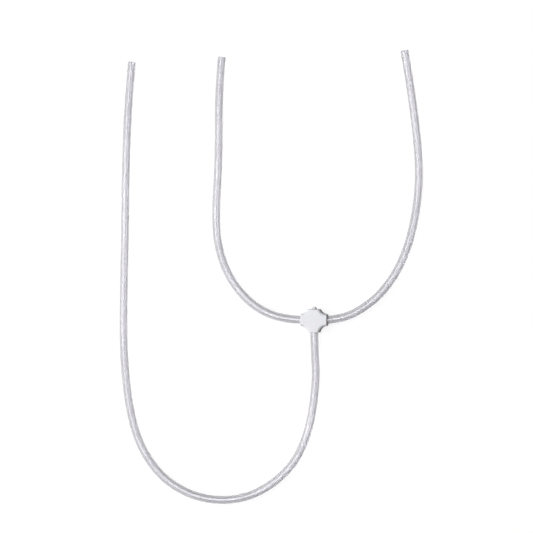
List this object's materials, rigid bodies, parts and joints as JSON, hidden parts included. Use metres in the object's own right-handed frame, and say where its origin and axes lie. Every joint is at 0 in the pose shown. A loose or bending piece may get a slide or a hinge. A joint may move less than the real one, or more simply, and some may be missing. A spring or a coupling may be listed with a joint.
{
  "type": "tubing y connector",
  "caption": "Moulded tubing Y connector with its clear tubes: two branch tubes leave opposite sides of a scalloped hub and a longer trunk tube leaves below.",
  "frame": {"origin": "on the hub's flat back face, under the point where the three port axes cross", "axes": "+X towards the right branch port, +Y towards the closed fourth lobe and away from the trunk port, +Z out of the hub's front face; the part lies flat on z = 0"},
  "size_m": [0.3082, 0.4527, 0.012],
  "materials": {
    "hub_plastic": "satin",
    "clear_tubing": "gloss"
  },
  "bodies": {
    "root": {"y_connector": "hub_plastic", "left_branch_tube": "clear_tubing", "right_branch_tube": "clear_tubing", "trunk_tube": "clear_tubing"}
  },
  "joints": []
}
